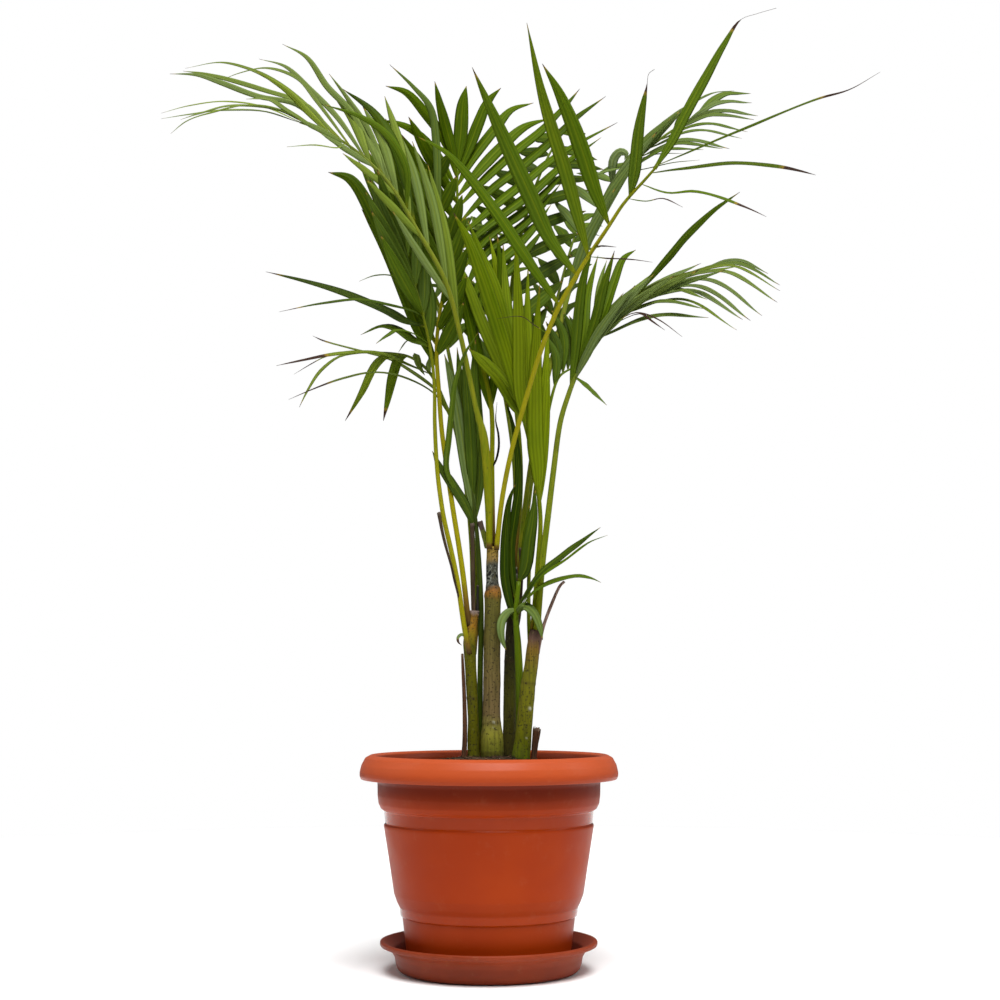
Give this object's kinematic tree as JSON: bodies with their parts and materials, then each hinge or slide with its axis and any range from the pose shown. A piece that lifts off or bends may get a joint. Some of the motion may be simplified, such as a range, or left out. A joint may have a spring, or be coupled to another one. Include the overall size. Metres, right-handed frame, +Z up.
{
  "type": "potted palm",
  "caption": "Areca palm with slender canes and arching feather fronds, in a round rimmed two-band pot on a saucer.",
  "frame": {"origin": "centre of the saucer's underside, on the surface that it stands on", "axes": "+Z up along the pot's axis, -Y towards the viewer of the picture, +X to the viewer's right"},
  "size_m": [0.7249, 0.59, 0.9543],
  "materials": {
    "pot": "satin",
    "saucer": "satin",
    "soil": "matte",
    "cane": "satin",
    "dry_stub": "matte",
    "leaf": "satin"
  },
  "bodies": {
    "root": {"saucer": "saucer", "pot": "pot", "soil": "soil", "cane_main": "cane", "cane_left": "cane", "cane_back": "cane", "cane_right": "cane", "stub_cut_top": "dry_stub", "stub_brown_tall": "dry_stub", "stub_black": "dry_stub", "stub_back": "dry_stub", "stub_right_thin": "dry_stub", "stub_left_cut": "dry_stub", "stub_snapped": "dry_stub", "sheath_dry": "dry_stub", "shoot_left": "leaf", "shoot_right": "leaf", "frond_left_arch": "leaf", "frond_front_right": "leaf", "frond_right_arch": "leaf", "frond_top_fan": "leaf", "frond_left_dark": "leaf", "frond_left_outer": "leaf", "frond_low_left": "leaf", "frond_back_right": "leaf", "frond_low_right": "leaf", "frond_centre_young": "leaf", "frond_back_centre": "leaf", "frond_rear_high": "leaf", "frond_rear_right": "leaf", "frond_rear_left": "leaf"}
  },
  "joints": []
}
